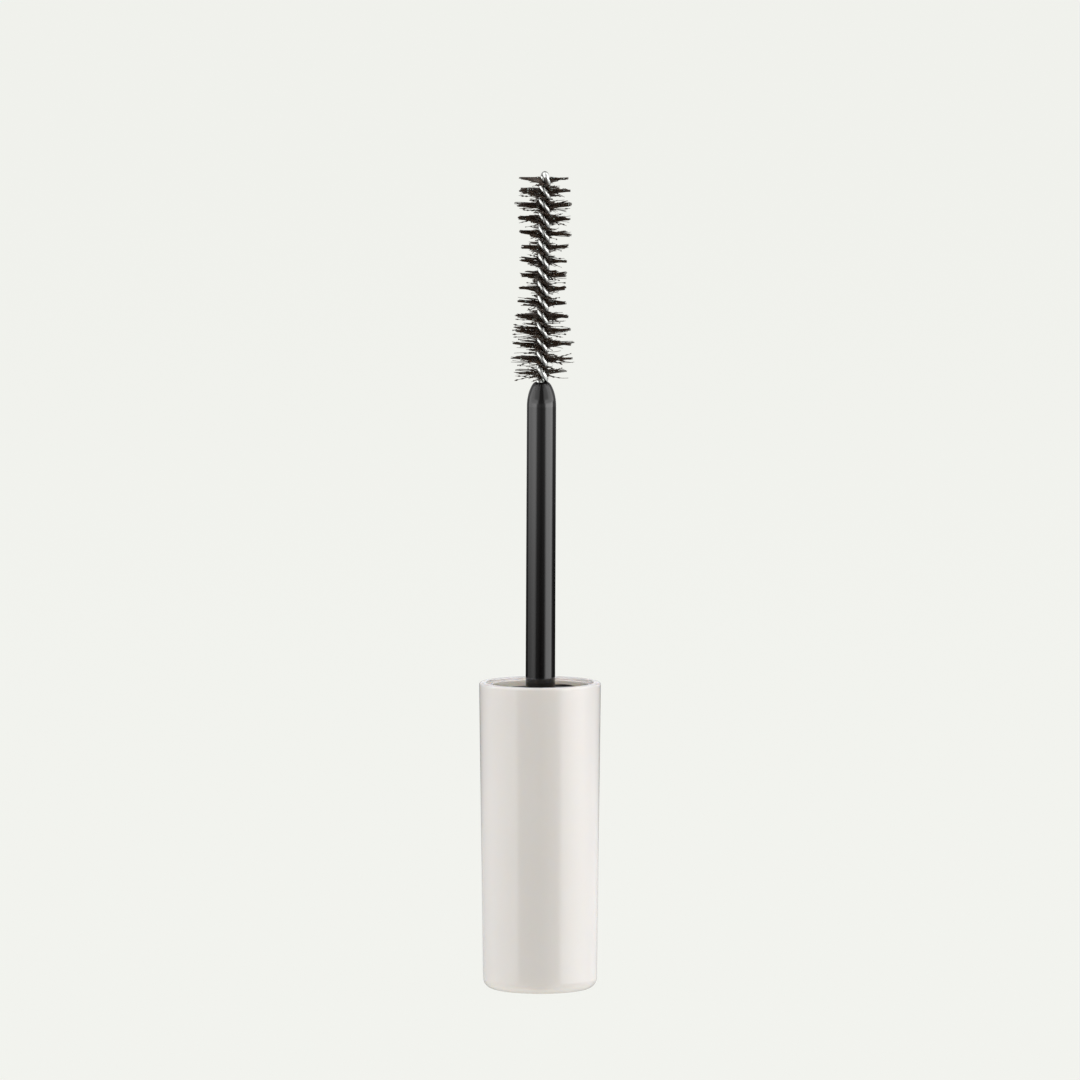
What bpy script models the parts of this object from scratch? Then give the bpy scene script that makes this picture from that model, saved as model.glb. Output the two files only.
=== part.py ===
"""Mascara wand: a cap with its threaded insert, washer, stem and twisted-wire brush.

The cap stands on its closed end. The origin is the centre of that end, +Z runs up the
wand's axis to the brush's tip, and all sizes are in metres.
"""

import math

import bmesh
import bpy
from mathutils import Matrix, Vector

MM = 0.001

# outer cap
CAP_HEIGHT = 40.5 * MM
CAP_MOUTH_RADIUS = 8.0 * MM
CAP_END_RADIUS = 7.52 * MM
CAP_END_FILLET = 1.37 * MM
CAP_WALL_AT_END = 1.4 * MM
CAP_BORE_RADIUS = 6.38 * MM
CAP_RIM_RADIUS = 7.02 * MM
CAP_RIM_DEPTH = 0.35 * MM
CAP_RIM_ROUND = 0.3 * MM

# threaded insert
PRESS_GAP = 0.1 * MM
SEAT_GAP = 0.1 * MM
INSERT_FACE_DEPTH = 1.1 * MM
INSERT_WELL_DEPTH = 10.0 * MM
INSERT_FLOOR = 1.6 * MM
INSERT_SKIRT = 4.5 * MM
INSERT_FLANGE = 1.4 * MM
INSERT_BODY_RADIUS = 6.05 * MM
INSERT_RIBS = 12
INSERT_RIB_WIDTH = 0.8 * MM
THREAD_ROOT_RADIUS = 5.55 * MM
THREAD_CREST_RADIUS = 5.1 * MM
THREAD_PITCH = 2.6 * MM
THREAD_TURNS = 1.75
THREAD_FOOT = 1.3 * MM
THREAD_CREST = 0.5 * MM

# sealing washer
WASHER_OUTER_RADIUS = 5.0 * MM
WASHER_INNER_RADIUS = 2.15 * MM
WASHER_THICKNESS = 0.9 * MM

# stem
STEM_BASE_RADIUS = 1.95 * MM
STEM_TOP_RADIUS = 1.92 * MM
STEM_HOLE_RADIUS = 2.1 * MM
STEM_HEAD_RADIUS = 4.4 * MM
STEM_HEAD_HEIGHT = 1.5 * MM
SNAP_LIP = 0.25 * MM
STEM_BEAD_RADIUS = 2.2 * MM
STEM_TOP = 80.06 * MM
STEM_TIP_LENGTH = 3.2 * MM
STEM_TIP_FLAT_RADIUS = 0.88 * MM
STEM_TIP_POINTEDNESS = 0.7
STEM_LEAN = math.radians(0.24)

# brush wire
STRAND_RADIUS = 0.365 * MM
TWIST_RADIUS = 0.39 * MM
HALF_TWIST = 1.825 * MM
WIRE_BORE_RADIUS = 0.82 * MM
WIRE_BORE_DEPTH = 8.0 * MM
WIRE_TOP = 107.74 * MM
WIRE_LEAN = math.radians(0.58)
WIRE_BEND_HEIGHT = 76.0 * MM

# bristle rows, one for each half turn of the wire
ROWS = 15
FIRST_ROW_HEIGHT = 81.3 * MM
ROW_HUB_INNER = 0.9 * MM
ROW_HUB_OUTER = 1.3 * MM
ROW_HUB_HEIGHT = 1.24 * MM
ROW_THICKNESS = 0.6 * MM
ROW_END_GAP = math.radians(8)
TOP_ROW_END = 0.12
BRUSH_ENDS_RADIUS = 4.15 * MM
BRUSH_WAIST_RADIUS = 3.15 * MM
BRUSH_TOP_RADIUS = 3.3 * MM

ROUND_STEPS = 48
SMALL_STEPS = 32
ROW_HUB_STEPS = 12
ROW_FAN_STEPS = 8
TWIST_STEPS = 10


def clear_scene():
    """Remove everything that is in the scene."""
    for thing in list(bpy.data.objects):
        bpy.data.objects.remove(thing, do_unlink=True)


def material(name, colour, roughness, metallic=0.0):
    """A Principled material of one plain colour."""
    made = bpy.data.materials.new(name)
    made.use_nodes = True
    shader = made.node_tree.nodes["Principled BSDF"]
    shader.inputs["Base Color"].default_value = (*colour, 1.0)
    shader.inputs["Roughness"].default_value = roughness
    shader.inputs["Metallic"].default_value = metallic
    return made


def new_object(name, mesh, finish=None):
    """Put a mesh in the scene as a named object, shaded smooth up to 35 degrees."""
    thing = bpy.data.objects.new(name, mesh)
    bpy.context.scene.collection.objects.link(thing)
    mesh.shade_smooth()
    mesh.set_sharp_from_angle(angle=math.radians(35))
    if finish is not None:
        mesh.materials.append(finish)
    return thing


def arc(centre_r, centre_z, radius, start, end, steps):
    """Points of an arc in the (r, z) plane, angles in degrees from +r."""
    points = []
    for step in range(steps + 1):
        angle = math.radians(start + (end - start) * step / steps)
        points.append((centre_r + radius * math.cos(angle), centre_z + radius * math.sin(angle)))
    return points


def around(radius, angle, height):
    """A point at a radius, an angle and a height about the Z axis."""
    return Vector((radius * math.cos(angle), radius * math.sin(angle), height))


def turned(name, outline, steps):
    """A solid of revolution: spins a closed (r, z) outline round the Z axis."""
    bm = bmesh.new()
    ring = [bm.verts.new((r, 0.0, z)) for r, z in outline]
    edges = [bm.edges.new((ring[i - 1], ring[i])) for i in range(len(ring))]
    bmesh.ops.spin(
        bm,
        geom=ring + edges,
        cent=(0, 0, 0),
        axis=(0, 0, 1),
        angle=2 * math.pi,
        steps=steps,
        use_merge=True,
    )
    bmesh.ops.remove_doubles(bm, verts=bm.verts, dist=1e-7)
    on_axis = [e for e in bm.edges if all(v.co.xy.length < 1e-7 for v in e.verts)]
    bmesh.ops.delete(bm, geom=on_axis, context="EDGES")
    bmesh.ops.recalc_face_normals(bm, faces=bm.faces)
    mesh = bpy.data.meshes.new(name)
    bm.to_mesh(mesh)
    bm.free()
    return mesh


def swept(name, rings):
    """A solid whose skin runs through rings of points, closed by a face at each end."""
    bm = bmesh.new()
    loops = [[bm.verts.new(point) for point in ring] for ring in rings]
    for low, high in zip(loops, loops[1:]):
        for side in range(len(low)):
            bm.faces.new((low[side - 1], low[side], high[side], high[side - 1]))
    bm.faces.new(loops[0])
    bm.faces.new(loops[-1])
    bmesh.ops.recalc_face_normals(bm, faces=bm.faces)
    mesh = bpy.data.meshes.new(name)
    bm.to_mesh(mesh)
    bm.free()
    return mesh


def as_tool(thing):
    """Mark an object as a guide for a Boolean, so that it isn't a piece itself."""
    thing.hide_render = True
    thing.display_type = "WIRE"
    return thing


def boolean(thing, tool, operation):
    """Add a Boolean modifier that stays live on the piece."""
    step = thing.modifiers.new(tool.name, "BOOLEAN")
    step.operation = operation
    step.object = tool
    step.solver = "EXACT"
    return step


def empty(name, location, tilt, parent=None):
    """An empty that its children lean with, tilted about Y towards +X."""
    thing = bpy.data.objects.new(name, None)
    bpy.context.scene.collection.objects.link(thing)
    thing.parent = parent
    thing.location = location
    thing.rotation_euler = (0, tilt, 0)
    return thing


def hang_on(thing, parent, origin):
    """Parent a piece whose mesh is drawn upright about the wand's axis."""
    thing.parent = parent
    thing.location = -Vector(origin)


# the cap's mouth, the insert's face and floor, and the washer's seat
INSERT_TOP = CAP_HEIGHT - INSERT_FACE_DEPTH
WELL_FLOOR = INSERT_TOP - INSERT_WELL_DEPTH
INSERT_FLOOR_UNDER = WELL_FLOOR - INSERT_FLOOR
INSERT_BOTTOM = INSERT_FLOOR_UNDER - INSERT_SKIRT
WASHER_UNDER = WELL_FLOOR + SEAT_GAP
HEAD_TOP = INSERT_FLOOR_UNDER - SEAT_GAP
LEAN_PIVOT = (0, 0, WELL_FLOOR)
WIRE_PIVOT = (0, 0, WIRE_BEND_HEIGHT)


def make_outer_cap(finish):
    """White moulded shell: tapered side, rounded closed end and stepped mouth."""
    outline = [(0.0, 0.0)]
    end_r = CAP_END_RADIUS - CAP_END_FILLET
    outline += arc(end_r, CAP_END_FILLET, CAP_END_FILLET, -90, 0, 8)
    outer_r = CAP_MOUTH_RADIUS - CAP_RIM_ROUND
    outline += arc(outer_r, CAP_HEIGHT - CAP_RIM_ROUND, CAP_RIM_ROUND, 0, 90, 4)
    inner_round = CAP_RIM_ROUND / 2
    inner_r = CAP_RIM_RADIUS + inner_round
    outline += arc(inner_r, CAP_HEIGHT - inner_round, inner_round, 90, 180, 3)
    outline += [
        (CAP_RIM_RADIUS, CAP_HEIGHT - CAP_RIM_DEPTH),
        (CAP_BORE_RADIUS, CAP_HEIGHT - CAP_RIM_DEPTH),
    ]
    floor_r = CAP_BORE_RADIUS - CAP_WALL_AT_END
    outline += arc(floor_r, 2 * CAP_WALL_AT_END, CAP_WALL_AT_END, 0, -90, 6)
    outline += [(0.0, CAP_WALL_AT_END)]
    return new_object("outer_cap", turned("outer_cap", outline, ROUND_STEPS), finish)


def thread_ridge():
    """The female thread: a trapezoid swept along a right-handed helix on the well's wall."""
    foot_r = THREAD_ROOT_RADIUS + 0.2 * MM
    half_foot = THREAD_FOOT / 2
    half_crest = THREAD_CREST / 2
    start_z = INSERT_TOP - 1.3 * MM - THREAD_PITCH * THREAD_TURNS
    section = [
        (foot_r, -half_foot),
        (foot_r, half_foot),
        (THREAD_CREST_RADIUS, half_crest),
        (THREAD_CREST_RADIUS, -half_crest),
    ]
    steps = int(SMALL_STEPS * THREAD_TURNS)
    rings = []
    for step in range(steps + 1):
        part = step / steps
        angle = 2 * math.pi * THREAD_TURNS * part
        rise = THREAD_PITCH * THREAD_TURNS * part
        swell = min(1.0, 0.35 + 6 * min(part, 1 - part))
        ring = []
        for r, z in section:
            depth = foot_r - (foot_r - r) * swell
            height = start_z + rise + z * swell
            ring.append(around(depth, angle, height))
        rings.append(ring)
    return as_tool(new_object("thread_ridge", swept("thread_ridge", rings)))


def insert_ribs():
    """Upright ribs on the insert's outside, which grip the shell's bore."""
    top = INSERT_TOP - INSERT_FLANGE / 2
    bottom = INSERT_BOTTOM + 0.6 * MM
    outer = CAP_BORE_RADIUS - PRESS_GAP
    inner = INSERT_BODY_RADIUS - 0.3 * MM
    bm = bmesh.new()
    for rib in range(INSERT_RIBS):
        block = bmesh.ops.create_cube(bm, size=1.0)["verts"]
        size = Matrix.Diagonal((outer - inner, INSERT_RIB_WIDTH, top - bottom, 1))
        place = Matrix.Translation(((outer + inner) / 2, 0, (top + bottom) / 2))
        turn = Matrix.Rotation(2 * math.pi * rib / INSERT_RIBS, 4, "Z")
        bmesh.ops.transform(bm, matrix=turn @ place @ size, verts=block)
    mesh = bpy.data.meshes.new("insert_ribs")
    bm.to_mesh(mesh)
    bm.free()
    return as_tool(new_object("insert_ribs", mesh))


def make_thread_insert(finish):
    """Inner cap: threaded well above a floor, and a skirt that holds the stem's head."""
    flange_r = CAP_BORE_RADIUS - PRESS_GAP
    head_room = STEM_HEAD_RADIUS + PRESS_GAP
    lip_top = HEAD_TOP - STEM_HEAD_HEIGHT - SEAT_GAP
    lip_r = head_room - SNAP_LIP
    lead_in = 0.4 * MM
    outline = [
        (INSERT_BODY_RADIUS - lead_in, INSERT_BOTTOM),
        (INSERT_BODY_RADIUS, INSERT_BOTTOM + lead_in),
        (INSERT_BODY_RADIUS, INSERT_TOP - INSERT_FLANGE),
        (flange_r, INSERT_TOP - INSERT_FLANGE),
        (flange_r, INSERT_TOP),
        (THREAD_ROOT_RADIUS + lead_in, INSERT_TOP),
        (THREAD_ROOT_RADIUS, INSERT_TOP - lead_in),
        (THREAD_ROOT_RADIUS, WELL_FLOOR),
        (STEM_HOLE_RADIUS, WELL_FLOOR),
        (STEM_HOLE_RADIUS, INSERT_FLOOR_UNDER),
        (head_room, INSERT_FLOOR_UNDER),
        (head_room, lip_top),
        (lip_r, lip_top - 0.2 * MM),
        (lip_r, lip_top - 0.5 * MM),
        (head_room, lip_top - 1.1 * MM),
        (head_room, INSERT_BOTTOM),
    ]
    insert = new_object("thread_insert", turned("thread_insert", outline, ROUND_STEPS), finish)
    boolean(insert, thread_ridge(), "UNION")
    boolean(insert, insert_ribs(), "UNION")
    return insert


def make_sealing_washer(finish):
    """Soft ring that sits on the well's floor and seals on the bottle's lip."""
    top = WASHER_UNDER + WASHER_THICKNESS
    edge = 0.15 * MM
    outline = [
        (WASHER_INNER_RADIUS, WASHER_UNDER),
        (WASHER_OUTER_RADIUS - edge, WASHER_UNDER),
        (WASHER_OUTER_RADIUS, WASHER_UNDER + edge),
        (WASHER_OUTER_RADIUS, top - edge),
        (WASHER_OUTER_RADIUS - edge, top),
        (WASHER_INNER_RADIUS, top),
    ]
    return new_object("sealing_washer", turned("sealing_washer", outline, SMALL_STEPS), finish)


def stem_tip():
    """The stem's bullet-shaped tip, from the straight rod to the flat round the wire."""
    points = []
    steps = 10
    shoulder = STEM_TOP_RADIUS - STEM_TIP_FLAT_RADIUS
    for step in range(steps + 1):
        part = step / steps
        r = STEM_TIP_FLAT_RADIUS + shoulder * (1 - part**2) ** STEM_TIP_POINTEDNESS
        points.append((r, STEM_TOP - STEM_TIP_LENGTH * (1 - part)))
    return points


def make_stem(finish, parent):
    """Moulded rod with a head under the insert's floor and a bore for the wire."""
    head_under = HEAD_TOP - STEM_HEAD_HEIGHT
    bead_z = WASHER_UNDER + WASHER_THICKNESS + 0.5 * MM
    bead_half = 0.25 * MM
    edge = 0.25 * MM
    outline = [
        (0.0, head_under),
        (STEM_HEAD_RADIUS - edge, head_under),
        (STEM_HEAD_RADIUS, head_under + edge),
        (STEM_HEAD_RADIUS, HEAD_TOP),
        (STEM_BASE_RADIUS, HEAD_TOP),
        (STEM_BASE_RADIUS, bead_z - bead_half),
        (STEM_BEAD_RADIUS, bead_z - bead_half / 2),
        (STEM_BEAD_RADIUS, bead_z + bead_half / 2),
        (STEM_BASE_RADIUS, bead_z + 2 * bead_half),
    ]
    outline += stem_tip()
    outline += [
        (WIRE_BORE_RADIUS, STEM_TOP - 0.02 * MM),
        (WIRE_BORE_RADIUS, STEM_TOP - WIRE_BORE_DEPTH),
        (0.0, STEM_TOP - WIRE_BORE_DEPTH),
    ]
    stem = new_object("stem", turned("stem", outline, SMALL_STEPS), finish)
    hang_on(stem, parent, LEAN_PIVOT)
    return stem


def strand_angle(height):
    """Where a strand lies round the axis: a left-handed twist, at the front on a row's height."""
    return -math.pi / 2 - math.pi * (height - FIRST_ROW_HEIGHT) / HALF_TWIST


def make_brush_wire(finish, parent):
    """One wire, folded over at the top and twisted on itself down into the stem."""
    bottom = STEM_TOP - WIRE_BORE_DEPTH + 3 * SEAT_GAP
    fold_centre = WIRE_TOP - STRAND_RADIUS - TWIST_RADIUS
    step_height = 2 * HALF_TWIST / TWIST_STEPS
    steps = math.ceil((fold_centre - bottom) / step_height)
    heights = [bottom + (fold_centre - bottom) * step / steps for step in range(steps + 1)]
    fold_angle = strand_angle(fold_centre)
    points = []
    for height in heights:
        points.append(around(TWIST_RADIUS, strand_angle(height), height))
    fold_steps = 8
    for step in range(1, fold_steps):
        angle = math.pi * step / fold_steps
        across = TWIST_RADIUS * math.cos(angle)
        points.append(around(across, fold_angle, fold_centre + TWIST_RADIUS * math.sin(angle)))
    for height in reversed(heights):
        points.append(around(TWIST_RADIUS, strand_angle(height) + math.pi, height))
    curve = bpy.data.curves.new("brush_wire", "CURVE")
    curve.dimensions = "3D"
    curve.bevel_depth = STRAND_RADIUS
    curve.bevel_resolution = 1
    curve.use_fill_caps = True
    spline = curve.splines.new("POLY")
    spline.points.add(len(points) - 1)
    for point, place in zip(spline.points, points):
        point.co = (*place, 1.0)
    curve.materials.append(finish)
    wire = bpy.data.objects.new("brush_wire", curve)
    bpy.context.scene.collection.objects.link(wire)
    hang_on(wire, parent, WIRE_PIVOT)
    return wire


def row_radius(row):
    """The brush's radius at a row: wide at both ends, narrow in the middle, smaller on top."""
    place = row / (ROWS - 1)
    waist = 0.5 - 0.5 * math.cos(2 * math.pi * min(place / 0.94, 1.0))
    radius = BRUSH_ENDS_RADIUS - (BRUSH_ENDS_RADIUS - BRUSH_WAIST_RADIUS) * waist
    shrink = max(0.0, (place - 0.85) / 0.15)
    return radius + (BRUSH_TOP_RADIUS - BRUSH_ENDS_RADIUS) * shrink**2


def row_blade(name, height, radius, turn, top_part):
    """One side of a row: a fan that winds with the wire, up to a part of a half turn above its middle."""
    half = ROW_THICKNESS / 2
    root = (ROW_HUB_INNER + ROW_HUB_OUTER) / 2
    section = [(root, -half), (radius, -half), (radius, half), (root, half)]
    steps = ROW_FAN_STEPS
    first = ROW_END_GAP - math.pi / 2
    last = math.pi * top_part - ROW_END_GAP
    rings = []
    for step in range(steps + 1):
        angle = first + (last - first) * step / steps
        rise = HALF_TWIST * angle / math.pi
        rings.append([around(r, turn - angle, height + rise + z) for r, z in section])
    return as_tool(new_object(name, swept(name, rings)))


def make_bristle_row(row, finish, parent):
    """The fan of fibres that one half turn of the wire grips, as one solid."""
    name = f"bristle_row_{row + 1:02d}"
    height = FIRST_ROW_HEIGHT + row * HALF_TWIST
    half = ROW_HUB_HEIGHT / 2
    outline = [
        (ROW_HUB_INNER, height - half),
        (ROW_HUB_OUTER, height - half),
        (ROW_HUB_OUTER, height + half),
        (ROW_HUB_INNER, height + half),
    ]
    piece = new_object(name, turned(name, outline, ROW_HUB_STEPS), finish)
    hang_on(piece, parent, WIRE_PIVOT)
    top_part = TOP_ROW_END + ROW_END_GAP / math.pi if row == ROWS - 1 else 0.5
    for side in (0, 1):
        blade = row_blade(f"{name}_fan_{side}", height, row_radius(row), math.pi * side, top_part)
        hang_on(blade, parent, WIRE_PIVOT)
        boolean(piece, blade, "UNION")
    return piece


def build():
    clear_scene()
    white = material("cap_white", (0.78, 0.76, 0.73), 0.12)
    black = material("moulded_black", (0.015, 0.013, 0.012), 0.35)
    foam = material("washer_foam", (0.55, 0.54, 0.5), 0.8)
    steel = material("wire_steel", (0.55, 0.55, 0.53), 0.3, 1.0)
    nylon = material("bristle_nylon", (0.022, 0.016, 0.014), 0.5)

    make_outer_cap(white)
    make_thread_insert(black)
    make_sealing_washer(foam)
    lean = empty("stem_lean", LEAN_PIVOT, STEM_LEAN)
    make_stem(black, lean)
    bend_place = (0, 0, WIRE_BEND_HEIGHT - WELL_FLOOR)
    bend = empty("wire_bend", bend_place, WIRE_LEAN, lean)
    make_brush_wire(steel, bend)
    for row in range(ROWS):
        make_bristle_row(row, nylon, bend)


build()
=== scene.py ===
"""Mascara wand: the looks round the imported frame, built up from the cap to the brush.

All sizes are in metres in the frame's own axes: +Z runs up the wand, and the camera
looks at it from -Y.
"""

import math
import random

import bmesh
import bpy
from mathutils import Matrix, Vector


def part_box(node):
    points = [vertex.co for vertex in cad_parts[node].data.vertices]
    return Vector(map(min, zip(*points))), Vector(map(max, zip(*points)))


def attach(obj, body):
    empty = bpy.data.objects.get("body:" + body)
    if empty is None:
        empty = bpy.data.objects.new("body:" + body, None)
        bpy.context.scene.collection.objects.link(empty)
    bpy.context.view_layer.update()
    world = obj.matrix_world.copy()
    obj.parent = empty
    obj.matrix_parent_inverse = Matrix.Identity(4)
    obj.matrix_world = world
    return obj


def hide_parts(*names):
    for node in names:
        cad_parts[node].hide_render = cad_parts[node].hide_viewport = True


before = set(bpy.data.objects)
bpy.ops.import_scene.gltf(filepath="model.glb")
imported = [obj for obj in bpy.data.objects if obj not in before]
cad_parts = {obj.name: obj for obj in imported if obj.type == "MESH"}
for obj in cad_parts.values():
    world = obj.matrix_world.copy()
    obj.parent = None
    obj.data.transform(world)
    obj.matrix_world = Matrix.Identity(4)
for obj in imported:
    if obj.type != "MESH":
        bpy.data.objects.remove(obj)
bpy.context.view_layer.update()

MM = 0.001


# ---------------------------------------------------------------- studio
# A pale floor that glows evenly, and a soft box on each side, in front and above, in a dim
# room. What the gloss mirrors is painted on the room itself, so its bands stay smooth.

def linear(code):
    """An sRGB hex colour such as "E8E3DC" as linear red, green, blue and 1."""
    parts = [int(code[i : i + 2], 16) / 255 for i in (0, 2, 4)]
    return tuple([c / 12.92 if c <= 0.04045 else ((c + 0.055) / 1.055) ** 2.4 for c in parts] + [1.0])


def node(tree, kind, settings=None, links=None):
    """Add a shader node, set its properties and sockets, and link other nodes into it."""
    made = tree.nodes.new(kind)
    for name, value in (settings or {}).items():
        if name in made.inputs:
            made.inputs[name].default_value = value
        else:
            setattr(made, name, value)
    for name, source in (links or {}).items():
        tree.links.new(source, made.inputs[name])
    return made


bpy.context.scene.view_settings.view_transform = "Standard"

room = bpy.data.worlds.new("dim_room")
bpy.context.scene.world = room
room.use_nodes = True
tree = room.node_tree
tree.nodes.clear()


BRIGHTEST = 5.0


def all_round(turn, stops):
    """Brightness round the horizon: stops of (degrees from the front, brightness over 5)."""
    ring = node(tree, "ShaderNodeValToRGB", links={"Fac": turn})
    ring.color_ramp.interpolation = "EASE"
    points = ring.color_ramp.elements
    for i, (azimuth, level) in enumerate(stops):
        spot = points[i] if i < 2 else points.new(1.0)
        spot.position = azimuth / 360 + 0.5
        spot.color = (level / BRIGHTEST, level / BRIGHTEST, level / BRIGHTEST, 1.0)
    return ring.outputs["Color"]


def change_over(below, above, from_rise, to_rise):
    """Fade from one part of the room to the next between two sines of elevation."""
    fade = node(
        tree,
        "ShaderNodeMapRange",
        {"interpolation_type": "SMOOTHSTEP", "From Min": from_rise, "From Max": to_rise},
        {"Value": rise},
    )
    layers = {"Fac": fade.outputs["Result"], "Color1": below, "Color2": above}
    return node(tree, "ShaderNodeMixRGB", links=layers).outputs["Color"]


# what the gloss mirrors, from underfoot to overhead: lit table, its dark front edge, the
# two side boxes from their feet up, the pale backdrop and a bright ceiling
toward = node(tree, "ShaderNodeTexCoord").outputs["Generated"]
axes = node(tree, "ShaderNodeSeparateXYZ", links={"Vector": toward})
rise = axes.outputs["Z"]
ahead = node(tree, "ShaderNodeMath", {"operation": "MULTIPLY"}, {0: axes.outputs["Y"]})
ahead.inputs[1].default_value = -1.0
compass = {0: axes.outputs["X"], 1: ahead.outputs["Value"]}
circle = node(tree, "ShaderNodeMath", {"operation": "ARCTAN2"}, compass)
span = {"From Min": -math.pi, "From Max": math.pi}
turn = node(tree, "ShaderNodeMapRange", span, {"Value": circle.outputs["Value"]}).outputs["Result"]
underfoot = all_round(
    turn,
    [(-180, 0.3), (-60, 1.1), (-28, 1.0), (-12, 0.1)]
    + [(10, 0.1), (26, 1.0), (60, 1.1), (180, 0.3)],
)
near_table = all_round(
    turn,
    [(-180, 0.5), (-140, 0.6), (-105, 1.1), (-60, 1.5), (-47, 1.6), (-41, 0.2), (0, 0.05)]
    + [(37, 0.4), (45, 2.5), (70, 2.8), (95, 2.1), (120, 1.2), (180, 0.5)],
)
far_table = all_round(
    turn,
    [(-180, 0.0), (-126, 0.0), (-104, 0.5), (-55, 1.0), (-30, 0.1), (0, 0.0)]
    + [(25, 0.1), (50, 3.2), (86, 3.2), (102, 0.1), (120, 0.0), (180, 0.0)],
)
feet = all_round(
    turn,
    [(-180, 0.2), (-126, 0.3), (-108, 2.3), (-48, 4.2), (-28, 0.7), (0, 0.4)]
    + [(22, 0.6), (42, 5.0), (92, 5.0), (108, 0.4), (180, 0.2)],
)
sides = all_round(
    turn,
    [(-180, 1.0), (-160, 0.5), (-125, 0.5), (-108, 2.3), (-38, 2.8), (-18, 0.3), (0, 0.2)]
    + [(16, 0.3), (36, 3.1), (104, 2.9), (122, 0.5), (160, 0.5), (180, 1.0)],
)
overhead = all_round(
    turn,
    [(-180, 0.3), (-125, 0.5), (-100, 2.4), (-70, 2.4), (-50, 1.6), (-26, 1.3), (-12, 0.2)]
    + [(12, 0.2), (26, 1.4), (50, 1.7), (70, 2.8), (100, 2.8), (125, 0.5), (180, 0.3)],
)
mirror = change_over(underfoot, near_table, -0.23, -0.17)
mirror = change_over(mirror, far_table, -0.127, -0.112)
mirror = change_over(mirror, feet, -0.097, -0.06)
mirror = change_over(mirror, sides, 0.02, 0.09)
mirror = change_over(mirror, overhead, 0.14, 0.24)

ray = node(tree, "ShaderNodeLightPath")
fill = node(tree, "ShaderNodeBackground", {"Color": linear("FFF8F0"), "Strength": 0.05})
mirrored = node(tree, "ShaderNodeBackground", {"Strength": BRIGHTEST}, {"Color": mirror})
seen = node(tree, "ShaderNodeBackground", {"Color": linear("F0F1EC"), "Strength": 1.0})
for_gloss = {0: ray.outputs["Is Glossy Ray"], 1: fill.outputs[0], 2: mirrored.outputs[0]}
lit = node(tree, "ShaderNodeMixShader", links=for_gloss)
for_camera = {0: ray.outputs["Is Camera Ray"], 1: lit.outputs[0], 2: seen.outputs[0]}
both = node(tree, "ShaderNodeMixShader", links=for_camera)
node(tree, "ShaderNodeOutputWorld", links={"Surface": both.outputs[0]})

FLOOR_SIZE = 40.0
bpy.ops.object.select_all(action="DESELECT")
bpy.ops.mesh.primitive_plane_add(size=FLOOR_SIZE, location=(0, 0, 0))
floor = bpy.context.object
floor.name = "studio_floor"
floor.visible_glossy = False
floor.visible_shadow = False
paper = bpy.data.materials.new("lit_paper")
paper.use_nodes = True
shader = paper.node_tree.nodes["Principled BSDF"]
shader.inputs["Base Color"].default_value = linear("242424")
shader.inputs["Roughness"].default_value = 1.0
shader.inputs["Specular IOR Level"].default_value = 0.0
shader.inputs["Emission Color"].default_value = linear("F0F1EC")
shader.inputs["Emission Strength"].default_value = 1.0
floor.data.materials.append(paper)


def soft_box(name, azimuth, tilt, distance, width, length, radiance, tone="F6F8FF"):
    """A rectangular light turned to the wand's middle; its mirror image is the room's own."""
    side = math.radians(azimuth)
    lift = math.radians(tilt)
    lamp = bpy.data.lights.new(name, "AREA")
    lamp.shape = "RECTANGLE"
    lamp.size = width
    lamp.size_y = length
    lamp.energy = radiance * math.pi * width * length
    lamp.color = linear(tone)[:3]
    thing = bpy.data.objects.new(name, lamp)
    bpy.context.scene.collection.objects.link(thing)
    flat = distance * math.cos(lift)
    thing.location = (flat * math.sin(side), -flat * math.cos(side), 0.05 + distance * math.sin(lift))
    thing.rotation_euler = (math.radians(90) - lift, 0, side)
    thing.visible_camera = False
    thing.visible_glossy = False


soft_box("left_soft_box", -84, 15, 0.9, 1.1, 0.55, 2.25)
soft_box("right_soft_box", 86, 15, 0.9, 1.2, 0.55, 2.95)
soft_box("front_soft_box", 0, 30, 1.5, 1.6, 1.2, 0.4, "FFF4E4")
soft_box("ceiling_soft_box", 0, 90, 1.2, 1.3, 1.3, 2.5)

# The camera stands a little over a metre away with a long lens, level with the brush.
CAMERA_DISTANCE = 1.178
CAMERA_OVER_MOUTH = 0.1209
CAMERA_TILT = math.radians(4.956)
cap_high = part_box("outer_cap")[1]
camera = bpy.data.cameras.new("camera")
camera.lens = 300.0
camera.sensor_width = 36.0
camera.clip_end = 100.0
viewer = bpy.data.objects.new("camera", camera)
bpy.context.scene.collection.objects.link(viewer)
viewer.location = (0, -CAMERA_DISTANCE, cap_high[2] + CAMERA_OVER_MOUTH)
viewer.rotation_euler = (math.radians(90) - CAMERA_TILT, 0, 0)
bpy.context.scene.camera = viewer


# ---------------------------------------------------------------- outer cap
# The white shell is moulded ABS from a polished mould: a slightly tapered tube, closed and
# rounded at the foot, with a stepped lip at the mouth. It glosses like a glazed cup.

ROUND_SIDES = 160


def draw_disc(name, radius, height, sides=ROUND_SIDES):
    """Start a round piece with one flat disc, in edit mode and selected."""
    bpy.ops.object.select_all(action="DESELECT")
    bpy.ops.mesh.primitive_circle_add(
        vertices=sides, radius=radius, fill_type="NGON", location=(0, 0, height)
    )
    piece = bpy.context.object
    piece.name = name
    piece.data.name = name
    bpy.ops.object.transform_apply(location=True, rotation=True, scale=True)
    bpy.ops.object.mode_set(mode="EDIT")
    bpy.ops.mesh.select_all(action="SELECT")
    return piece


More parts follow.
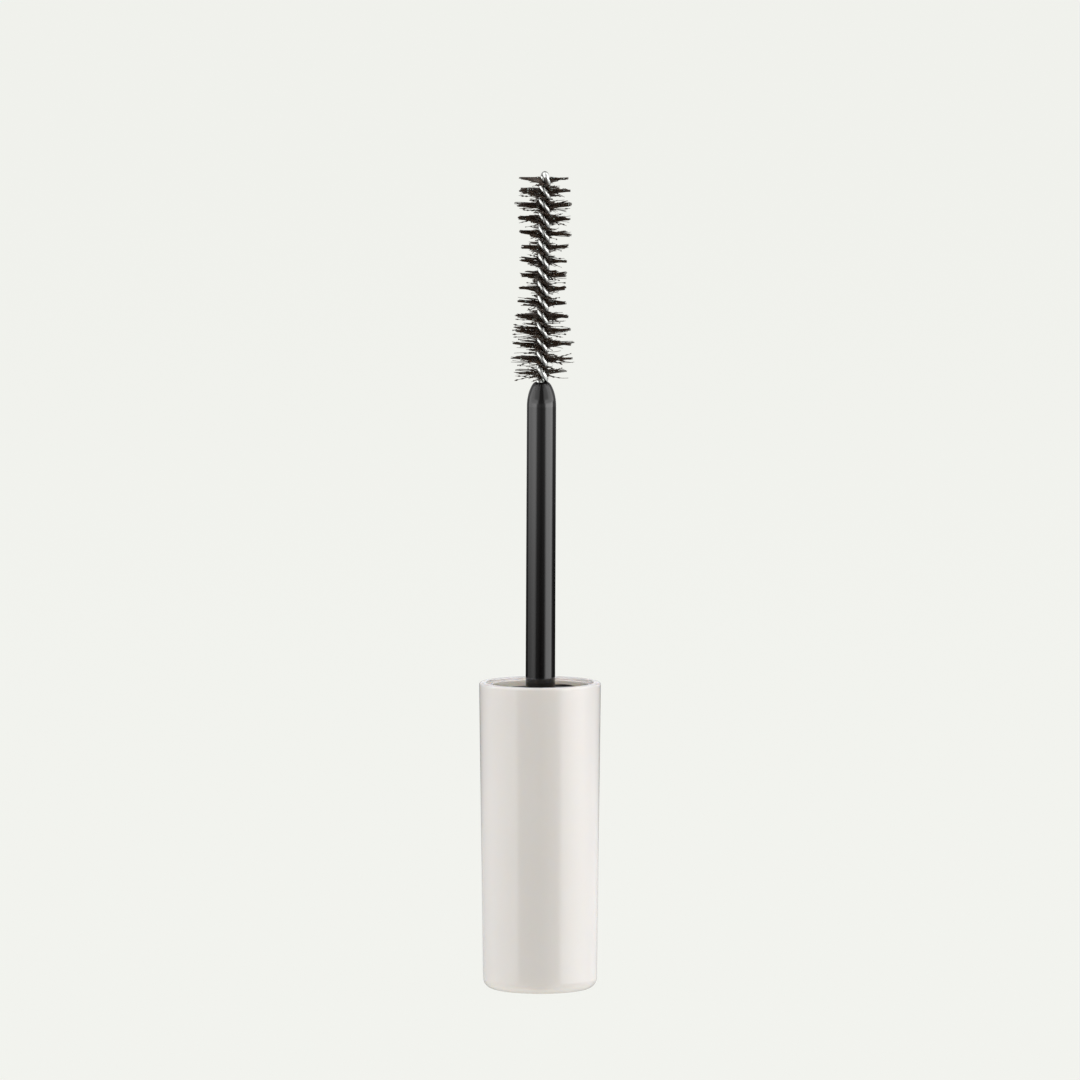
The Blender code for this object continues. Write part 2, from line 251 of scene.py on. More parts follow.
def held(rings):
    """Add a holding loop just inside each end of a long wall, so that it stays straight."""
    made = [rings[0]]
    for (old_r, old_z), (new_r, new_z) in zip(rings, rings[1:]):
        length = math.hypot(new_r - old_r, new_z - old_z)
        if length > 1.0 * MM:
            for part in (0.06 * MM / length, 1 - 0.06 * MM / length):
                made.append((old_r + (new_r - old_r) * part, old_z + (new_z - old_z) * part))
        made.append((new_r, new_z))
    return made


def pull_through(rings):
    """Extrude the selected disc from ring to ring, where the first (radius, height) is its own."""
    rings = held(rings)
    for (old_r, old_z), (new_r, new_z) in zip(rings, rings[1:]):
        bpy.ops.mesh.extrude_region_move(TRANSFORM_OT_translate={"value": (0, 0, new_z - old_z)})
        scale = new_r / old_r
        if scale != 1:
            bpy.ops.transform.resize(value=(scale, scale, 1), center_override=(0, 0, new_z))


def rounded(centre_r, centre_z, radius, start, end, steps):
    """(radius, height) points round a fillet, with the angles in degrees from outwards."""
    points = []
    for step in range(steps + 1):
        angle = math.radians(start + (end - start) * step / steps)
        points.append((centre_r + radius * math.cos(angle), centre_z + radius * math.sin(angle)))
    return points


def finish_piece(piece, material, sharp=35):
    """Leave edit mode with the faces outwards, shaded smooth, and give the piece its material."""
    bpy.ops.mesh.select_all(action="SELECT")
    bpy.ops.mesh.remove_doubles(threshold=1e-7)
    bpy.ops.mesh.normals_make_consistent(inside=False)
    bpy.ops.object.mode_set(mode="OBJECT")
    bpy.ops.object.shade_smooth_by_angle(angle=math.radians(sharp))
    piece.data.materials.append(material)


def new_material(name):
    """A material with its Principled shader, its node tree and its Object coordinates."""
    made = bpy.data.materials.new(name)
    made.use_nodes = True
    place = node(made.node_tree, "ShaderNodeTexCoord").outputs["Object"]
    return made, made.node_tree, made.node_tree.nodes["Principled BSDF"], place


def vary_roughness(tree, shader, pattern, least, most):
    """Let a pattern's value move the roughness between two limits."""
    sheen = node(tree, "ShaderNodeMapRange", {"To Min": least, "To Max": most}, {"Value": pattern})
    tree.links.new(sheen.outputs["Result"], shader.inputs["Roughness"])


def vary_height(tree, shader, pattern, strength, depth):
    """Let a pattern's value raise the skin by up to a depth, and give back the bump."""
    skin = node(tree, "ShaderNodeBump", {"Strength": strength, "Distance": depth}, {"Height": pattern})
    tree.links.new(skin.outputs["Normal"], shader.inputs["Normal"])
    return skin


CAP_FOOT_RADIUS = 7.52 * MM
CAP_FOOT_FILLET = 1.37 * MM
CAP_LIP_ROUND = 0.3 * MM
CAP_STEP_RADIUS = 7.02 * MM
CAP_STEP_DEPTH = 0.35 * MM
CAP_STEP_ROUND = 0.06 * MM
CAP_BORE_RADIUS = 6.38 * MM
CAP_FLOOR = 1.4 * MM

mouth_z = cap_high[2]
mouth_r = cap_high[0]
step_z = mouth_z - CAP_STEP_DEPTH
inner_round = CAP_LIP_ROUND / 2

# polished ABS: a bright, slightly warm white with a wet-looking gloss
cap_white, tree, shader, place = new_material("polished_white_abs")
shader.inputs["Roughness"].default_value = 0.1
shader.inputs["IOR"].default_value = 1.54
# the wall is 1.5 mm thick and lets light creep about a millimetre through it
shader.inputs["Subsurface Weight"].default_value = 0.35
shader.inputs["Subsurface Radius"].default_value = (1.0, 0.8, 0.6)
shader.inputs["Subsurface Scale"].default_value = 1.5 * MM
# the resin's tint wanders by a few thousandths over about 12 mm
drift = node(tree, "ShaderNodeTexNoise", {"Scale": 80.0, "Detail": 2.0}, {"Vector": place})
tint = node(tree, "ShaderNodeValToRGB", links={"Fac": drift.outputs["Fac"]})
tint.color_ramp.elements[0].color = linear("E7E2DD")
tint.color_ramp.elements[1].color = linear("ECE7E3")
# painted bounce light: the bore is painted a little paler and warmer than the outside, standing in for
# warm light bouncing round inside the mouth
flat = node(tree, "ShaderNodeVectorMath", {"operation": "MULTIPLY"}, {0: place})
flat.inputs[1].default_value = (1.0, 1.0, 0.0)
out_r = node(tree, "ShaderNodeVectorMath", {"operation": "LENGTH"}, {0: flat.outputs["Vector"]})
bore = node(
    tree,
    "ShaderNodeMapRange",
    {"From Min": CAP_BORE_RADIUS + 0.3 * MM, "From Max": CAP_BORE_RADIUS + 0.1 * MM},
    {"Value": out_r.outputs["Value"]},
)
painted_bounce_light = node(
    tree,
    "ShaderNodeMixRGB",
    {"Color2": linear("FFF6E9")},
    {"Fac": bore.outputs["Result"], "Color1": tint.outputs["Color"]},
)
# a smear of dried mascara lies in the bore, within 2 by 3.3 by 0.4 mm of its middle
smear_at = node(tree, "ShaderNodeVectorMath", {"operation": "SUBTRACT"}, {0: place})
smear_at.inputs[1].default_value = (0.0032, 0.0054, mouth_z - 1.3 * MM)
smear_size = node(tree, "ShaderNodeVectorMath", {"operation": "MULTIPLY"}, {0: smear_at.outputs["Vector"]})
smear_size.inputs[1].default_value = (500.0, 300.0, 2400.0)
smear_far = node(tree, "ShaderNodeVectorMath", {"operation": "LENGTH"}, {0: smear_size.outputs["Vector"]})
smear_edge = node(
    tree,
    "ShaderNodeMapRange",
    {"From Min": 1.15, "From Max": 0.9},
    {"Value": smear_far.outputs["Value"]},
)
smear = node(
    tree,
    "ShaderNodeMath",
    {"operation": "MULTIPLY"},
    {0: smear_edge.outputs["Result"], 1: bore.outputs["Result"]},
)
coloured = node(
    tree,
    "ShaderNodeMixRGB",
    {"Color2": linear("1B1512")},
    {"Fac": smear.outputs["Value"], "Color1": painted_bounce_light.outputs["Color"]},
)
tree.links.new(coloured.outputs["Color"], shader.inputs["Base Color"])
# a moulded skin ripples by half a micron over about 2 mm
ripple = node(tree, "ShaderNodeTexNoise", {"Scale": 500.0, "Detail": 2.0}, {"Vector": place})
vary_height(tree, shader, ripple.outputs["Fac"], 0.6, 0.0005 * MM)

foot = rounded(CAP_FOOT_RADIUS - CAP_FOOT_FILLET, CAP_FOOT_FILLET, CAP_FOOT_FILLET, -90, 0, 10)
lip = rounded(mouth_r - CAP_LIP_ROUND, mouth_z - CAP_LIP_ROUND, CAP_LIP_ROUND, 0, 90, 6)
inner_lip = rounded(CAP_STEP_RADIUS + inner_round, mouth_z - inner_round, inner_round, 90, 180, 5)
step_edge = rounded(CAP_BORE_RADIUS + CAP_STEP_ROUND, step_z - CAP_STEP_ROUND, CAP_STEP_ROUND, 90, 180, 3)
floor_edge = rounded(CAP_BORE_RADIUS - CAP_FLOOR, 2 * CAP_FLOOR, CAP_FLOOR, 0, -90, 8)
rings = foot + lip + inner_lip + [(CAP_STEP_RADIUS, step_z)] + step_edge + floor_edge
outer_cap = draw_disc("glossy_cap", rings[0][0], rings[0][1])
pull_through(rings)
finish_piece(outer_cap, cap_white)
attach(outer_cap, "root")
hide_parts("outer_cap")


# ---------------------------------------------------------------- threaded insert
# The inner cap is moulded black polypropylene, pressed into the shell on its ribs. It has
# the female thread above a floor that the stem passes through. Its moulding is satin.

PRESS_GAP = 0.1 * MM
INSERT_FLANGE = 1.4 * MM
INSERT_BODY_RADIUS = 6.05 * MM
INSERT_EDGE = 0.12 * MM
WELL_RADIUS = 5.55 * MM
WELL_LEAD_IN = 0.4 * MM
STEM_HOLE_RADIUS = 2.1 * MM
HEAD_ROOM_RADIUS = 4.5 * MM
FLOOR_THICKNESS = 1.6 * MM
THREAD_CREST_RADIUS = 5.1 * MM
THREAD_PITCH = 2.6 * MM
THREAD_TURNS = 1.75
THREAD_HALF_FOOT = 0.65 * MM
THREAD_HALF_CREST = 0.25 * MM
THREAD_START_DEPTH = 1.3 * MM
THREAD_SINK = 0.2 * MM
RIBS = 12
RIB_WIDTH = 0.8 * MM
RIB_FOOT = 0.6 * MM
RIB_SINK = 0.3 * MM

insert_low, insert_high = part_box("thread_insert")
washer_low, washer_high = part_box("sealing_washer")
insert_top = insert_high[2]
well_floor = washer_low[2] - PRESS_GAP
floor_under = well_floor - FLOOR_THICKNESS
insert_foot = insert_low[2]
flange_r = CAP_BORE_RADIUS - PRESS_GAP

# satin polypropylene: deep black with a soft sheen from the mould's fine spark finish
insert_black, tree, shader, place = new_material("satin_black_polypropylene")
shader.inputs["Base Color"].default_value = linear("1A1817")
shader.inputs["IOR"].default_value = 1.49
# the spark finish has pits about 0.05 mm across, which vary the roughness and the height
pits = node(tree, "ShaderNodeTexNoise", {"Scale": 20000.0, "Detail": 2.0}, {"Vector": place})
vary_roughness(tree, shader, pits.outputs["Fac"], 0.28, 0.42)
vary_height(tree, shader, pits.outputs["Fac"], 0.4, 0.002 * MM)



def open_ends(piece, sides):
    """Take off the discs at the ends of a drawn wall whose first and last rings meet."""
    bpy.ops.mesh.delete(type="FACE")
    whole = bmesh.from_edit_mesh(piece.data)
    discs = [f for f in whole.faces if len(f.verts) == sides]
    bmesh.ops.delete(whole, geom=discs, context="FACES_ONLY")
    bmesh.update_edit_mesh(piece.data)


rings = [
    (INSERT_BODY_RADIUS - WELL_LEAD_IN, insert_foot),
    (INSERT_BODY_RADIUS, insert_foot + WELL_LEAD_IN),
    (INSERT_BODY_RADIUS, insert_top - INSERT_FLANGE),
    (flange_r, insert_top - INSERT_FLANGE),
]
rings += rounded(flange_r - INSERT_EDGE, insert_top - INSERT_EDGE, INSERT_EDGE, 0, 90, 3)
rings += [
    (WELL_RADIUS + WELL_LEAD_IN, insert_top),
    (WELL_RADIUS, insert_top - WELL_LEAD_IN),
    (WELL_RADIUS, well_floor),
    (STEM_HOLE_RADIUS, well_floor),
    (STEM_HOLE_RADIUS, floor_under),
    (HEAD_ROOM_RADIUS, floor_under),
    (HEAD_ROOM_RADIUS, insert_foot),
    (INSERT_BODY_RADIUS - WELL_LEAD_IN, insert_foot),
]
insert = draw_disc("threaded_insert", *rings[0])
pull_through(rings)
open_ends(insert, ROUND_SIDES)
finish_piece(insert, insert_black, sharp=30)

# the thread is a trapezoid drawn out along the helix, sunk a little into the well's wall
thread_steps = int(64 * THREAD_TURNS)
thread_foot = insert_top - THREAD_START_DEPTH - THREAD_PITCH * THREAD_TURNS
bpy.ops.mesh.primitive_plane_add(size=1.0)
thread = bpy.context.object
thread.name = "thread_ridge"
section = [
    (WELL_RADIUS + THREAD_SINK, -THREAD_HALF_FOOT),
    (WELL_RADIUS + THREAD_SINK, THREAD_HALF_FOOT),
    (THREAD_CREST_RADIUS, THREAD_HALF_CREST),
    (THREAD_CREST_RADIUS, -THREAD_HALF_CREST),
]
whole = bmesh.new()
whole.faces.new([whole.verts.new((r, 0, thread_foot + z)) for r, z in section])
whole.to_mesh(thread.data)
whole.free()
bpy.ops.object.mode_set(mode="EDIT")
bpy.ops.mesh.select_all(action="SELECT")
for step in range(thread_steps):
    bpy.ops.mesh.extrude_region_move(
        TRANSFORM_OT_translate={"value": (0, 0, THREAD_PITCH * THREAD_TURNS / thread_steps)}
    )
    picked = [v for v in bmesh.from_edit_mesh(thread.data).verts if v.select]
    turn = Matrix.Rotation(2 * math.pi * THREAD_TURNS / thread_steps, 4, "Z")
    bmesh.ops.transform(bmesh.from_edit_mesh(thread.data), matrix=turn, verts=picked)
bpy.ops.mesh.select_all(action="SELECT")
bpy.ops.mesh.normals_make_consistent(inside=False)
bpy.ops.object.mode_set(mode="OBJECT")


def weld_on(piece, extra):
    """Join a second solid to a piece with a Boolean union, and remove the second."""
    bpy.ops.object.select_all(action="DESELECT")
    bpy.context.view_layer.objects.active = piece
    piece.select_set(True)
    union = piece.modifiers.new("weld", "BOOLEAN")
    union.operation = "UNION"
    union.solver = "EXACT"
    union.object = extra
    bpy.ops.object.modifier_apply(modifier="weld")
    bpy.data.objects.remove(extra, do_unlink=True)


weld_on(insert, thread)

rib_top = insert_top - INSERT_FLANGE / 2
rib_foot = insert_foot + RIB_FOOT
rib_in = INSERT_BODY_RADIUS - RIB_SINK
bpy.ops.object.select_all(action="DESELECT")
rib_middle = ((flange_r + rib_in) / 2, 0, (rib_top + rib_foot) / 2)
bpy.ops.mesh.primitive_cube_add(size=1.0, location=rib_middle)
ribs = bpy.context.object
ribs.scale = (flange_r - rib_in, RIB_WIDTH, rib_top - rib_foot)
bpy.ops.object.transform_apply(location=True, rotation=True, scale=True)
bpy.ops.object.mode_set(mode="EDIT")
whole = bmesh.from_edit_mesh(ribs.data)
first = list(whole.verts) + list(whole.edges) + list(whole.faces)
for rib in range(1, RIBS):
    copy = bmesh.ops.duplicate(whole, geom=first)["geom"]
    turned = [v for v in copy if isinstance(v, bmesh.types.BMVert)]
    bmesh.ops.transform(whole, matrix=Matrix.Rotation(2 * math.pi * rib / RIBS, 4, "Z"), verts=turned)
bmesh.update_edit_mesh(ribs.data)
bpy.ops.object.mode_set(mode="OBJECT")
weld_on(insert, ribs)
bpy.ops.object.shade_smooth_by_angle(angle=math.radians(30))
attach(insert, "root")
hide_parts("thread_insert")


# ---------------------------------------------------------------- sealing washer
# A die-cut ring of pale polyethylene foam lies on the well's floor, loose round the stem.
# The bottle's lip presses into it. It is matt, with fine closed cells.

WASHER_HOLE_RADIUS = 2.15 * MM
WASHER_EDGE = 0.15 * MM
WASHER_SIDES = 96

foam, tree, shader, place = new_material("polyethylene_foam")
shader.inputs["Roughness"].default_value = 0.85
shader.inputs["IOR"].default_value = 1.5
# the foam's cells are about 0.15 mm across
cells = node(tree, "ShaderNodeTexVoronoi", {"Scale": 6500.0}, {"Vector": place})
shade = node(tree, "ShaderNodeValToRGB", links={"Fac": cells.outputs["Distance"]})
shade.color_ramp.elements[0].color = linear("EFEDE6")
shade.color_ramp.elements[1].color = linear("D2CDC2")
tree.links.new(shade.outputs["Color"], shader.inputs["Base Color"])
vary_height(tree, shader, cells.outputs["Distance"], 0.7, 0.02 * MM).invert = True

washer_r = washer_high[0]
low_z = washer_low[2]
top_z = washer_high[2]
rings = [(WASHER_HOLE_RADIUS, low_z)]
rings += rounded(washer_r - WASHER_EDGE, low_z + WASHER_EDGE, WASHER_EDGE, -90, 0, 3)
rings += rounded(washer_r - WASHER_EDGE, top_z - WASHER_EDGE, WASHER_EDGE, 0, 90, 3)
rings += [(WASHER_HOLE_RADIUS, top_z), (WASHER_HOLE_RADIUS, low_z)]
washer = draw_disc("foam_washer", *rings[0], sides=WASHER_SIDES)
pull_through(rings)
open_ends(washer, WASHER_SIDES)
finish_piece(washer, foam)
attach(washer, "root")
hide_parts("sealing_washer")


# ---------------------------------------------------------------- stem
# The rod is moulded black polypropylene. Its head is snapped under the insert's floor, and
# its bullet-shaped tip grips the wire. It leans a quarter of a degree, as such rods do.

STEM_BASE_RADIUS = 1.95 * MM
STEM_TOP_RADIUS = 1.92 * MM
STEM_HEAD_RADIUS = 4.4 * MM
STEM_BEAD_RADIUS = 2.2 * MM
STEM_TOP = 80.06 * MM
TIP_LENGTH = 3.2 * MM
TIP_FLAT_RADIUS = 0.88 * MM
TIP_POINTEDNESS = 0.7
WIRE_BORE_RADIUS = 0.82 * MM
WIRE_BORE_DEPTH = 8.0 * MM
STEM_LEAN = math.radians(0.24)
HEAD_HEIGHT = 1.5 * MM
HEAD_EDGE = 0.25 * MM
BEAD_OVER_WASHER = 0.5 * MM
BEAD_HALF = 0.25 * MM
TIP_STEPS = 20
STEM_SIDES = 96

# glossy polypropylene: near black, its mirror-like skin a little dulled by wiping
stem_black, tree, shader, place = new_material("glossy_black_polypropylene")
shader.inputs["Base Color"].default_value = linear("0F0D0D")
shader.inputs["IOR"].default_value = 1.49
# fine draw marks run along the rod, about 0.1 mm apart, and dull it in streaks
streaks = node(tree, "ShaderNodeMapping", {"Scale": (9000.0, 9000.0, 120.0)}, {"Vector": place})
drawn = streaks.outputs["Vector"]
marks = node(tree, "ShaderNodeTexNoise", {"Scale": 1.0, "Detail": 3.0}, {"Vector": drawn})
vary_roughness(tree, shader, marks.outputs["Fac"], 0.05, 0.11)
vary_height(tree, shader, marks.outputs["Fac"], 0.3, 0.0005 * MM)

head_top = floor_under - PRESS_GAP
bead_z = washer_high[2] + BEAD_OVER_WASHER
rings = [
    (STEM_HEAD_RADIUS - HEAD_EDGE, head_top - HEAD_HEIGHT),
    (STEM_HEAD_RADIUS, head_top - HEAD_HEIGHT + HEAD_EDGE),
    (STEM_HEAD_RADIUS, head_top),
    (STEM_BASE_RADIUS, head_top),
    (STEM_BASE_RADIUS, bead_z - BEAD_HALF),
    (STEM_BEAD_RADIUS, bead_z - BEAD_HALF / 2),
    (STEM_BEAD_RADIUS, bead_z + BEAD_HALF / 2),
    (STEM_BASE_RADIUS, bead_z + 2 * BEAD_HALF),
]
for step in range(TIP_STEPS + 1):
    part = step / TIP_STEPS
    bulge = (1 - part**2) ** TIP_POINTEDNESS
    tip_r = TIP_FLAT_RADIUS + (STEM_TOP_RADIUS - TIP_FLAT_RADIUS) * bulge
    rings.append((tip_r, STEM_TOP - TIP_LENGTH * (1 - part)))
rings += [(WIRE_BORE_RADIUS, STEM_TOP - 0.02 * MM), (WIRE_BORE_RADIUS, STEM_TOP - WIRE_BORE_DEPTH)]
stem = draw_disc("black_stem", *rings[0], sides=STEM_SIDES)
pull_through(rings)
finish_piece(stem, stem_black)

stem_pivot = Matrix.Translation((0, 0, well_floor))
stem_lean = stem_pivot @ Matrix.Rotation(STEM_LEAN, 4, "Y") @ stem_pivot.inverted()


def settle(piece, move):
    """Move a piece into place, with the place kept in its mesh."""
    bpy.ops.object.select_all(action="DESELECT")
    piece.select_set(True)
    bpy.context.view_layer.objects.active = piece
    piece.matrix_world = move
    bpy.ops.object.transform_apply(location=True, rotation=True, scale=True)


settle(stem, stem_lean)
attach(stem, "root")
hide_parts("stem")


# ---------------------------------------------------------------- brush wire
# One stainless wire is folded over a hook at the top and twisted left-handed on itself, so
# that its two strands trap the fibres. Its lower end is pressed into the stem's tip.

STRAND_RADIUS = 0.395 * MM
TWIST_RADIUS = 0.39 * MM
HALF_TWIST = 1.825 * MM
FIRST_ROW = 81.3 * MM
WIRE_TOP = 107.74 * MM
LAST_TIGHT_TURN = FIRST_ROW + 13.5 * HALF_TWIST
TOP_SLACK = 0.35
WIRE_BEND = 76.0 * MM
WIRE_LEAN = math.radians(0.58)
CLIMB_STEPS = 380
FOLD_STEPS = 24

# drawn stainless wire: bright, with fine die lines along it that soften its mirror
steel, tree, shader, place = new_material("drawn_stainless_wire")
shader.inputs["Base Color"].default_value = linear("CDCFCC")
shader.inputs["Metallic"].default_value = 1.0
# the die lines are about 0.03 mm apart
lines = node(tree, "ShaderNodeTexNoise", {"Scale": 30000.0, "Detail": 2.0}, {"Vector": place})
vary_roughness(tree, shader, lines.outputs["Fac"], 0.22, 0.34)


def twist_angle(height):
    """Where the first strand lies round the axis: it crosses the front at each row's height."""
    eased = max(0.0, height - LAST_TIGHT_TURN)
    return -math.pi / 2 - math.pi * (height - eased * TOP_SLACK - FIRST_ROW) / HALF_TWIST


def around(radius, angle, height):
    """A point at a radius, an angle and a height about the wire's axis."""
    return Vector((radius * math.cos(angle), radius * math.sin(angle), height))


wire_foot = STEM_TOP - WIRE_BORE_DEPTH + 3 * PRESS_GAP
fold_z = WIRE_TOP - STRAND_RADIUS - TWIST_RADIUS
climb = [wire_foot + (fold_z - wire_foot) * step / CLIMB_STEPS for step in range(CLIMB_STEPS + 1)]
path = [around(TWIST_RADIUS, twist_angle(z), z) for z in climb]
for step in range(1, FOLD_STEPS):
    angle = math.pi * step / FOLD_STEPS
    over = fold_z + TWIST_RADIUS * math.sin(angle)
    path.append(around(TWIST_RADIUS * math.cos(angle), twist_angle(fold_z), over))
path += [around(TWIST_RADIUS, twist_angle(z) + math.pi, z) for z in reversed(climb)]


def draw_tubes(name, tubes, sides_step):
    """Round bars along lists of (point, radius) as one mesh, through a bevelled curve."""
    line = bpy.data.curves.new(name, "CURVE")
    line.dimensions = "3D"
    line.bevel_depth = 1.0
    line.bevel_resolution = sides_step
    line.use_fill_caps = True
    for tube in tubes:
        spline = line.splines.new("POLY")
        spline.points.add(len(tube) - 1)
        for knot, (point, radius) in zip(spline.points, tube):
            knot.co = (*point, 1.0)
            knot.radius = radius
    bars = bpy.data.objects.new(name, line)
    bpy.context.scene.collection.objects.link(bars)
    bpy.ops.object.select_all(action="DESELECT")
    bars.select_set(True)
    bpy.context.view_layer.objects.active = bars
    bpy.ops.object.convert(target="MESH")
    return bpy.context.object


wire_pivot = Matrix.Translation((0, 0, WIRE_BEND))
wire_lean = stem_lean @ wire_pivot @ Matrix.Rotation(WIRE_LEAN, 4, "Y") @ wire_pivot.inverted()
wire = draw_tubes("twisted_wire", [[(point, STRAND_RADIUS) for point in path]], 4)
bpy.ops.object.shade_smooth_by_angle(angle=math.radians(50))
wire.data.materials.clear()
wire.data.materials.append(steel)
settle(wire, wire_lean)
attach(wire, "root")
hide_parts("brush_wire")


# ---------------------------------------------------------------- bristle rows
# Each half turn of the wire grips one fan of nylon fibres, trimmed to a waisted outline and
# wetted by mascara, which sticks them together in points and leaves films and beads.

ROWS = 15
FIBRE_RADIUS = 0.045 * MM
# how far each row reaches to the left and to the right, from the lowest row to the top one
REACHES_LEFT = (3.95, 4.15, 4.05, 4.1, 3.8, 3.55, 3.3, 3.2, 3.3, 3.25, 3.45, 3.7, 3.9, 3.55, 3.4)
REACHES_RIGHT = (3.5, 4.2, 4.2, 3.95, 3.65, 3.35, 3.25, 3.2, 3.3, 3.35, 3.6, 3.75, 3.9, 3.65, 3.2)
TOP_ROW_END = 0.1
TOP_ROW_DROP = 0.1 * MM
TOP_ROW_TIPS = 0.05 * MM
FIBRE_ROOT = 0.1 * MM
FILM_ROOT = 0.75 * MM

# nylon under a coat of mascara: a brown black, satin where it is wet
coated, tree, shader, place = new_material("mascara_coated_nylon")
shader.inputs["IOR"].default_value = 1.5
# the coat is thick and dark in places and thin and browner in others, about 0.4 mm apart
coat = node(tree, "ShaderNodeTexNoise", {"Scale": 2500.0, "Detail": 3.0}, {"Vector": place})
shade = node(tree, "ShaderNodeValToRGB", links={"Fac": coat.outputs["Fac"]})
shade.color_ramp.elements[0].position = 0.35
shade.color_ramp.elements[0].color = linear("120D0B")
shade.color_ramp.elements[1].position = 0.7
shade.color_ramp.elements[1].color = linear("42301F")
# painted glints: pale greenish-white specks about 0.15 mm across are painted into the coat's colour,
# standing in for light caught by fibre ends
cells = node(tree, "ShaderNodeTexVoronoi", {"Scale": 3200.0}, {"Vector": place})
pick = node(tree, "ShaderNodeSeparateColor", links={"Color": cells.outputs["Color"]})
few = {"From Min": 0.85, "From Max": 0.87}
chosen = node(tree, "ShaderNodeMapRange", few, {"Value": pick.outputs["Red"]})
round_spot = {"From Min": 0.34, "From Max": 0.26}
near = node(tree, "ShaderNodeMapRange", round_spot, {"Value": cells.outputs["Distance"]})
painted_glint = node(
    tree,
    "ShaderNodeMath",
    {"operation": "MULTIPLY"},
    {0: chosen.outputs["Result"], 1: near.outputs["Result"]},
)
coat_with_painted_glints = node(
    tree,
    "ShaderNodeMixRGB",
    {"Color2": linear("C6D4CC")},
    {"Fac": painted_glint.outputs["Value"], "Color1": shade.outputs["Color"]},
)
tree.links.new(coat_with_painted_glints.outputs["Color"], shader.inputs["Base Color"])
vary_roughness(tree, shader, coat.outputs["Fac"], 0.3, 0.55)


def row_reach(row, angle):
    """How far the trimmed fan reaches towards an angle about the wire."""
    left = REACHES_LEFT[row] * MM
    right = REACHES_RIGHT[row] * MM
    return (left + right) / 2 + (right - left) / 2 * math.cos(angle)


def tip_height(middle, high):
    """Where a clump ends: drawn to the fan's middle at the sides, at its own level elsewhere."""
    drawn = math.cos(math.pi * middle) ** 2
    return middle * HALF_TWIST * (1 - drawn) + high


def clumps(rng, last):
    """Split a fan into points of stuck fibres: where, how wide, how tight, how long, how high."""
    made = []
    at = -0.5
    while at < last:
        width = rng.uniform(0.06, 0.17)
        middle = at + width / 2
        tight = rng.uniform(0.45, 0.95)
        length = rng.uniform(0.86, 1.0) if abs(middle) > 0.2 else rng.uniform(0.93, 1.02)
        high = (0.14 + rng.gauss(0, 0.13)) * MM
        made.append((middle, width, tight, length, high))
        at += width
    return made


def fibre(rng, row, height, u, side, clump):
    """One end of a fibre, from the wire out to its tip, drawn towards its clump's point."""
    middle, width, tight, length, high = clump
    tip_r = row_reach(row, side - math.pi * middle) * length * rng.uniform(0.86, 1.0)
    root_z = height + u * HALF_TWIST
    spread = (u - middle) * HALF_TWIST * (1 - 0.6 * tight)
    tip_z = height + tip_height(middle, high) + spread + rng.gauss(0, 0.06) * MM
    sag = rng.gauss(0, 0.05) * MM
    sway = rng.gauss(0, 0.03)
    settle_by = 0.75 if u > 0 else 1.15
    tube = []
    for step in range(8):
        s = step / 7
        angle = side - math.pi * (u + (middle - u) * tight * s**1.3) + sway * s * s
        z = root_z + (tip_z - root_z) * s**settle_by + sag * math.sin(math.pi * s)
        r = FIBRE_ROOT + (tip_r - FIBRE_ROOT) * s
        tube.append((around(r, angle, z), FIBRE_RADIUS * (1.15 - 0.4 * s)))
    return tube


def film(rng, row, height, side, clump):
    """The mascara that fills a clump: a lumpy spindle along its middle, blunt at its end."""
    middle, width, tight, length, high = clump
    angle = side - math.pi * middle
    end = row_reach(row, angle) * length * rng.uniform(0.6, 0.93)
    body = width * HALF_TWIST * rng.uniform(0.54, 0.82)
    settle_by = 0.75 if middle > 0 else 1.15
    tube = []
    for step in range(10):
        s = step / 9
        r = FILM_ROOT + (end - FILM_ROOT) * s
        z = height + middle * HALF_TWIST * (1 - s**settle_by) + tip_height(middle, high) * s**settle_by
        thick = body * (1 - (0.2 + 0.5 * tight) * s) * rng.uniform(0.8, 1.12)
        tube.append((around(r, angle, z), thick))
    tube.append((around(end + 0.08 * MM, angle, z), tube[-1][1] * 0.5))
    return tube


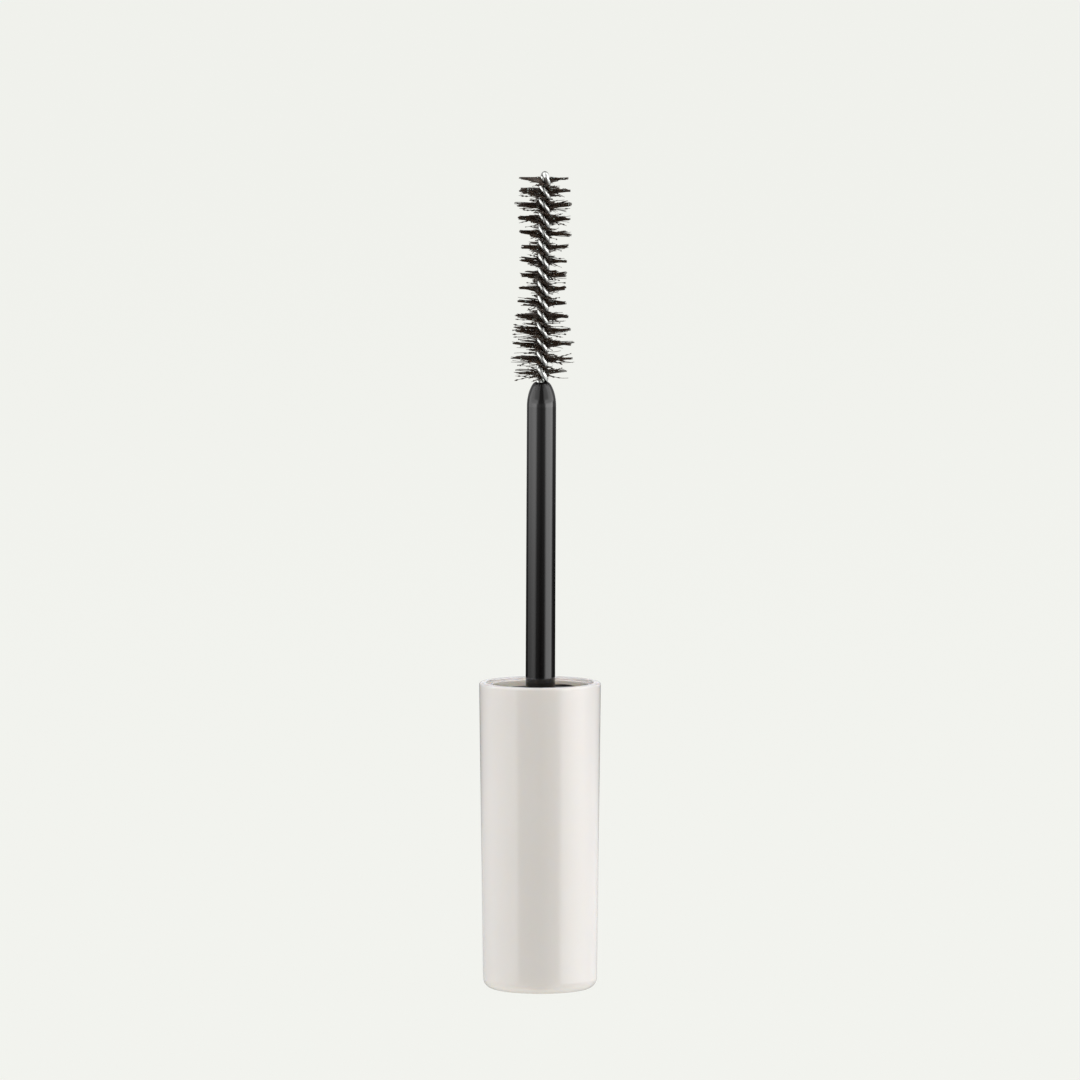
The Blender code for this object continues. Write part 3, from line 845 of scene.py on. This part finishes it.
def wisp(rng, row, height, shortest, longest):
    """A loose fibre that stands off from its row, curls at the end and carries beads."""
    u = rng.uniform(-0.4, 0.4)
    side = rng.choice((0, math.pi))
    lift = rng.choice((-1, 1)) * rng.uniform(0.2, 0.8) * MM
    curl = rng.uniform(-1.4, 1.4)
    tip_r = row_reach(row, side) * rng.uniform(shortest, longest)
    beads = [step for step in range(3, 14) if rng.random() < 0.16]
    tube = []
    for step in range(14):
        s = step / 13
        r = FIBRE_ROOT + (tip_r - FIBRE_ROOT) * s
        bow = curl * 0.2 * MM * math.sin(math.pi * s)
        z = height + u * HALF_TWIST * (1 - 0.5 * s) + lift * s**0.8 + bow
        thick = FIBRE_RADIUS * (0.95 - 0.35 * s)
        if step in beads:
            thick = rng.uniform(0.07, 0.13) * MM
        tube.append((around(r, side - math.pi * u + 0.1 * curl * s, z), thick))
    return tube


for row in range(ROWS):
    rng = random.Random(40 + row)
    top_row = row == ROWS - 1
    height = FIRST_ROW + row * HALF_TWIST - (TOP_ROW_DROP if top_row else 0)
    last = TOP_ROW_END if top_row else 0.5
    count = int((24, 60, 110)[min(row, 2)] * (last + 0.5))
    tubes = []
    spindles = []
    for side in (0, math.pi):
        parts = clumps(rng, last)
        if top_row:
            parts = [(*part[:4], TOP_ROW_TIPS) for part in parts]
        for i in range(count):
            u = -0.5 + (last + 0.5) * (i + rng.random()) / count
            clump = min(parts, key=lambda c: abs(c[0] - u))
            if not top_row and 0.18 < abs(u) < 0.4 and rng.random() < 0.45:
                continue
            tubes.append(fibre(rng, row, height, u, side, clump))
        for clump in parts:
            wetted = top_row or not 0.2 < abs(clump[0]) < 0.4
            if wetted and (row > 1 or rng.random() < 0.4 * row):
                spindles.append(film(rng, row, height, side, clump))
    if not top_row:
        tangled = row < 5 or row > 10
        for i in range(16 if tangled else 5):
            tubes.append(wisp(rng, row, height, 0.6, 1.02 if row > 3 else 1.12))
        for i in range(30 if tangled else 16):
            tubes.append(wisp(rng, row, height, 0.25, 0.55))
    fan = draw_tubes(f"fibre_fan_{row + 1:02d}", tubes, 0)
    if spindles:
        webs = draw_tubes("films", spindles, 1)
        bpy.ops.object.select_all(action="DESELECT")
        webs.select_set(True)
        fan.select_set(True)
        bpy.context.view_layer.objects.active = fan
        bpy.ops.object.join()
    bpy.ops.object.shade_smooth_by_angle(angle=math.radians(60))
    fan.data.materials.clear()
    fan.data.materials.append(coated)
    settle(fan, wire_lean)
    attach(fan, "root")
    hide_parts(f"bristle_row_{row + 1:02d}")
